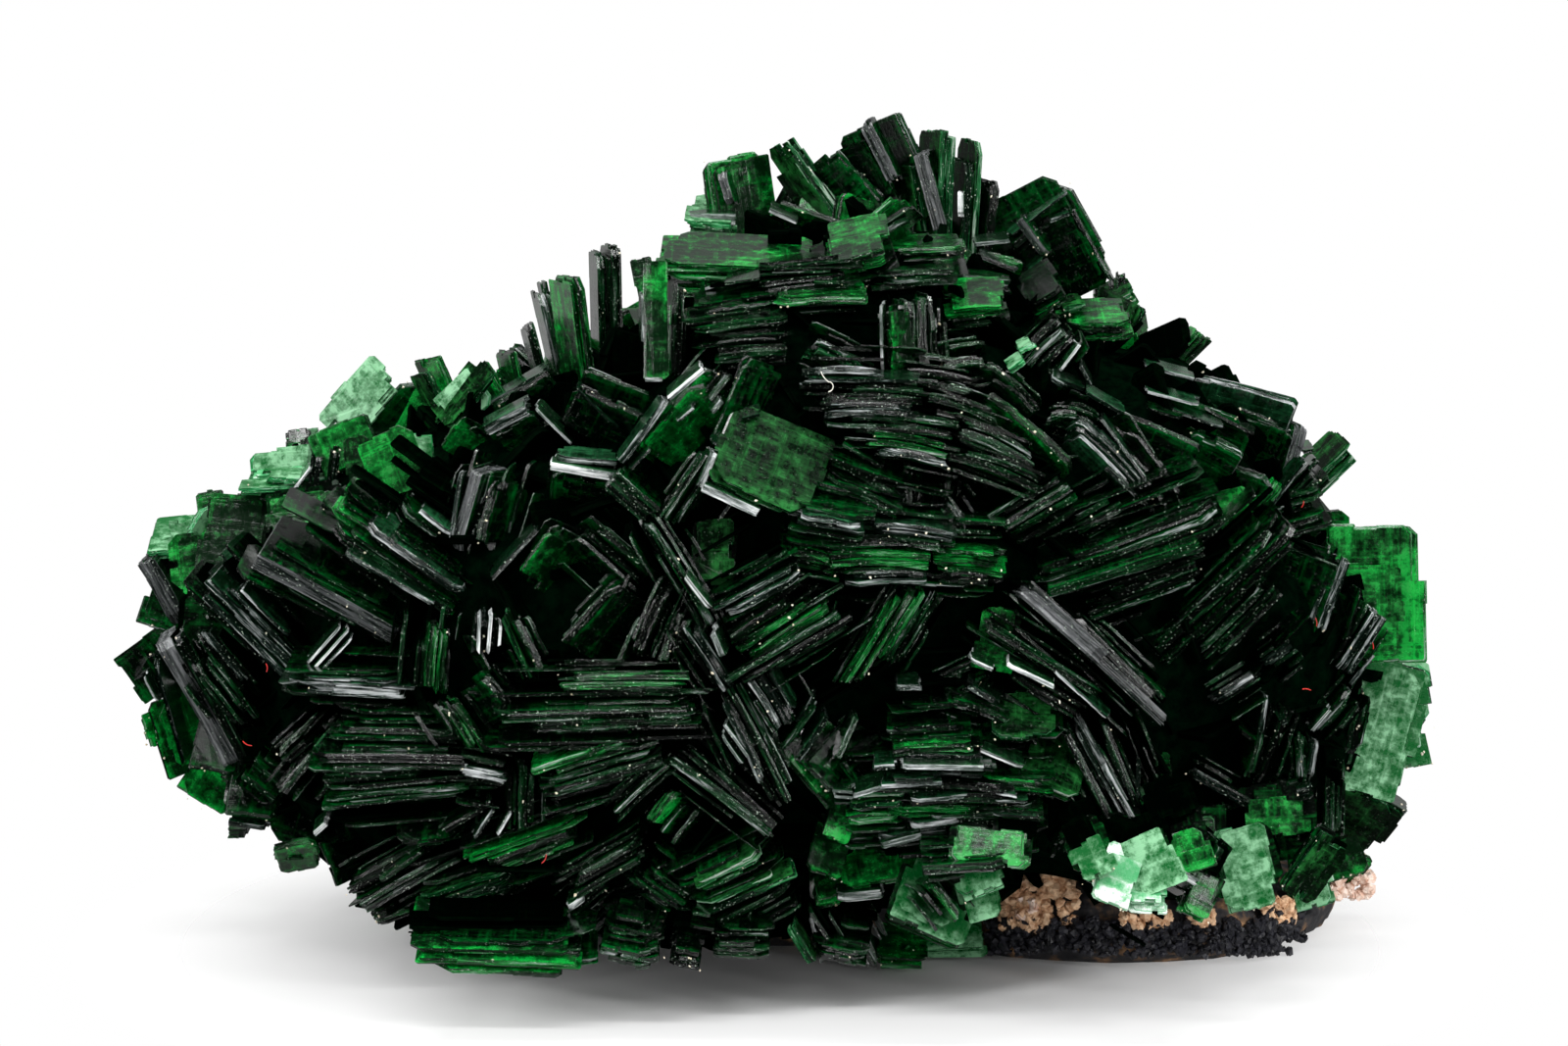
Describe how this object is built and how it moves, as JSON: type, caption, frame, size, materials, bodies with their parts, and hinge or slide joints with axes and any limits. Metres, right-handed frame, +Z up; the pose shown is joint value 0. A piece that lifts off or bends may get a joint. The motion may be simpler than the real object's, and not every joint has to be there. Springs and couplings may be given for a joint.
{
  "type": "metatorbernite specimen",
  "caption": "Loose specimen of thin, square, green tabular crystals grown together in crossing stacks on a slab of dark rock.",
  "frame": {"origin": "middle of the box in plan, at the flat underside of the rock", "axes": "+X to the right of the side that the picture shows, +Y away from that side, +Z up"},
  "size_m": [0.0698, 0.0436, 0.0431],
  "materials": {
    "metatorbernite": "glassy, see-through at thin edges",
    "host_rock": "rough, granular"
  },
  "bodies": {
    "root": {"crystal_mass": "metatorbernite", "matrix_rock": "host_rock"}
  },
  "joints": []
}
